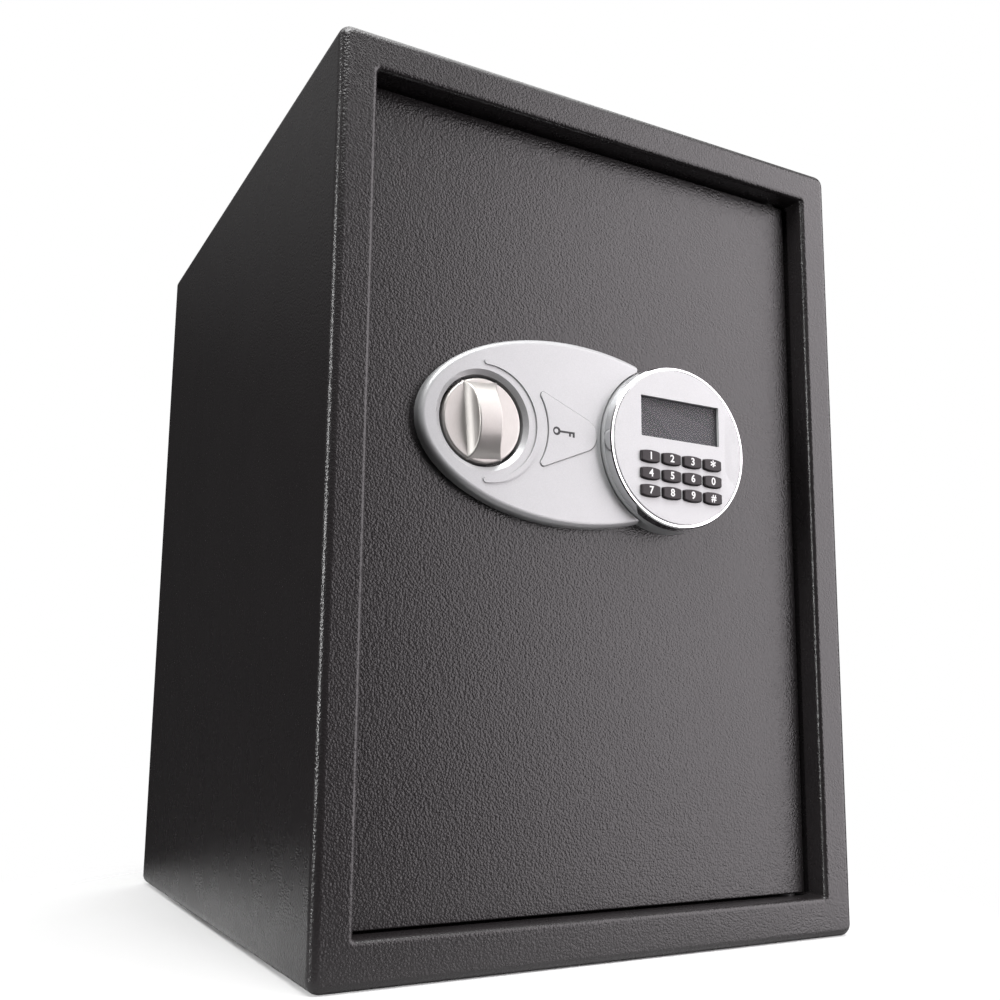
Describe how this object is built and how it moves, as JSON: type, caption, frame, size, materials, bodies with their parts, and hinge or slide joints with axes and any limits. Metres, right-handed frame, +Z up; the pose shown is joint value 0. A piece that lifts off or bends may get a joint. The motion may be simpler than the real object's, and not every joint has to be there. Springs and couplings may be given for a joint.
{
  "type": "in-room safe",
  "caption": "Upright steel in-room safe with a recessed hinged door, oval escutcheon, turn knob and round digital keypad.",
  "frame": {"origin": "centre of the cabinet's base, at floor level", "axes": "+X to the right seen from the front, +Y from front to back, +Z up; the door faces -Y"},
  "size_m": [0.35, 0.4043, 0.5],
  "materials": {
    "body_paint": "charcoal textured powder coat, satin",
    "zinc_steel": "zinc-plated steel, satin",
    "black_screws": "black oxide screws, satin",
    "bolt_chrome": "bright plated steel",
    "nylon": "natural nylon",
    "felt": "needle felt mat",
    "silver_plastic": "silver-painted moulded plastic, satin",
    "face_plastic": "pale silver moulded plastic, satin",
    "trim_chrome": "chrome-plated plastic ring",
    "knob_metal": "satin plated knob",
    "key_rubber": "dark charcoal moulded rubber",
    "display_glass": "tinted display window",
    "display_panel": "liquid crystal display, switched off",
    "circuit_board": "green circuit board",
    "lock_brass": "machined brass",
    "coil_tape": "taped copper coil",
    "black_plastic": "black moulded plastic",
    "cell_wrap": "plain wrapped dry cells",
    "red_plastic": "red moulded plastic",
    "wire_sleeve": "black sleeved wires"
  },
  "bodies": {
    "cabinet": {"cabinet_wrap": "body_paint", "front_frame": "body_paint", "back_panel": "body_paint", "strike_plate": "body_paint", "hinge_lugs": "zinc_steel", "hinge_bushes": "nylon", "shelf_supports": "body_paint", "floor_mat": "felt"},
    "shelf": {"shelf": "body_paint"},
    "door": {"door_plate": "body_paint", "hinge_blocks": "zinc_steel", "hinge_pins": "zinc_steel", "door_pan": "body_paint", "door_inner_cover": "body_paint", "cover_screws": "black_screws", "fascia": "silver_plastic", "fascia_screws": "zinc_steel", "lock_barrel": "lock_brass", "keypad_housing": "silver_plastic", "keypad_trim_ring": "trim_chrome", "keypad_face": "face_plastic", "display_window": "display_glass", "display_module": "display_panel", "key_membrane": "key_rubber", "keypad_board": "circuit_board", "spindle_bush": "nylon", "carriage_studs": "zinc_steel", "stud_clips": "zinc_steel", "solenoid_frame": "zinc_steel", "solenoid_coil": "coil_tape", "plunger_spring": "zinc_steel", "battery_box": "black_plastic", "batteries": "cell_wrap", "battery_contacts": "zinc_steel", "reset_switch": "black_plastic", "wiring_leads": "wire_sleeve"},
    "knob": {"knob": "knob_metal", "knob_spindle": "zinc_steel", "drive_cam": "zinc_steel", "cam_screw": "zinc_steel"},
    "bolts": {"bolt_carriage": "zinc_steel", "locking_bolts": "bolt_chrome"},
    "key_core": {"key_plug": "lock_brass", "override_lever": "zinc_steel"},
    "plunger": {"solenoid_plunger": "zinc_steel"},
    "battery_cover": {"battery_cover": "black_plastic"},
    "reset_button": {"reset_button": "red_plastic"},
    "key_cover": {"key_cover": "silver_plastic"},
    "key_1": {"key_1": "key_rubber"},
    "key_2": {"key_2": "key_rubber"},
    "key_3": {"key_3": "key_rubber"},
    "key_star": {"key_star": "key_rubber"},
    "key_4": {"key_4": "key_rubber"},
    "key_5": {"key_5": "key_rubber"},
    "key_6": {"key_6": "key_rubber"},
    "key_0": {"key_0": "key_rubber"},
    "key_7": {"key_7": "key_rubber"},
    "key_8": {"key_8": "key_rubber"},
    "key_9": {"key_9": "key_rubber"},
    "key_hash": {"key_hash": "key_rubber"}
  },
  "joints": [
    {"name": "door_hinge", "type": "hinge", "parent": "cabinet", "child": "door", "pos_m": [0.139, -0.178, 0.25], "axis": [0, 0, 1], "range_deg": [0, 100]},
    {"name": "knob_turn", "type": "hinge", "parent": "door", "child": "knob", "pos_m": [-0.083, -0.18, 0.293], "axis": [0, -1, 0], "range_deg": [0, 70]},
    {"name": "bolt_slide", "type": "slide", "parent": "door", "child": "bolts", "axis": [-1, 0, 0], "range_m": [0, 0.0149]},
    {"name": "key_turn", "type": "hinge", "parent": "door", "child": "key_core", "pos_m": [-0.03, -0.18, 0.293], "axis": [0, -1, 0], "range_deg": [0, 90]},
    {"name": "plunger_slide", "type": "slide", "parent": "door", "child": "plunger", "axis": [0, 0, 1], "range_m": [-0.005, 0], "deforming": ["plunger_spring"]},
    {"name": "battery_cover_pull", "type": "slide", "parent": "door", "child": "battery_cover", "axis": [0, 1, 0], "range_m": [0, 0.02]},
    {"name": "reset_press", "type": "slide", "parent": "door", "child": "reset_button", "axis": [0, -1, 0], "range_m": [0, 0.002], "stiffness_N_per_m": 500},
    {"name": "key_cover_pull", "type": "slide", "parent": "door", "child": "key_cover", "axis": [0, -1, 0], "range_m": [0, 0.02]},
    {"name": "shelf_lift", "type": "slide", "parent": "cabinet", "child": "shelf", "axis": [0, 0, 1], "range_m": [0, 0.04]},
    {"name": "key_1_press", "type": "slide", "parent": "door", "child": "key_1", "axis": [0, 1, 0], "range_m": [0, 0.0012], "stiffness_N_per_m": 600},
    {"name": "key_2_press", "type": "slide", "parent": "door", "child": "key_2", "axis": [0, 1, 0], "range_m": [0, 0.0012], "stiffness_N_per_m": 600},
    {"name": "key_3_press", "type": "slide", "parent": "door", "child": "key_3", "axis": [0, 1, 0], "range_m": [0, 0.0012], "stiffness_N_per_m": 600},
    {"name": "key_star_press", "type": "slide", "parent": "door", "child": "key_star", "axis": [0, 1, 0], "range_m": [0, 0.0012], "stiffness_N_per_m": 600},
    {"name": "key_4_press", "type": "slide", "parent": "door", "child": "key_4", "axis": [0, 1, 0], "range_m": [0, 0.0012], "stiffness_N_per_m": 600},
    {"name": "key_5_press", "type": "slide", "parent": "door", "child": "key_5", "axis": [0, 1, 0], "range_m": [0, 0.0012], "stiffness_N_per_m": 600},
    {"name": "key_6_press", "type": "slide", "parent": "door", "child": "key_6", "axis": [0, 1, 0], "range_m": [0, 0.0012], "stiffness_N_per_m": 600},
    {"name": "key_0_press", "type": "slide", "parent": "door", "child": "key_0", "axis": [0, 1, 0], "range_m": [0, 0.0012], "stiffness_N_per_m": 600},
    {"name": "key_7_press", "type": "slide", "parent": "door", "child": "key_7", "axis": [0, 1, 0], "range_m": [0, 0.0012], "stiffness_N_per_m": 600},
    {"name": "key_8_press", "type": "slide", "parent": "door", "child": "key_8", "axis": [0, 1, 0], "range_m": [0, 0.0012], "stiffness_N_per_m": 600},
    {"name": "key_9_press", "type": "slide", "parent": "door", "child": "key_9", "axis": [0, 1, 0], "range_m": [0, 0.0012], "stiffness_N_per_m": 600},
    {"name": "key_hash_press", "type": "slide", "parent": "door", "child": "key_hash", "axis": [0, 1, 0], "range_m": [0, 0.0012], "stiffness_N_per_m": 600}
  ],
  "couplings": [
    {"joint": "knob_turn", "follows": "bolt_slide", "rad_per_m": 81.924}
  ]
}
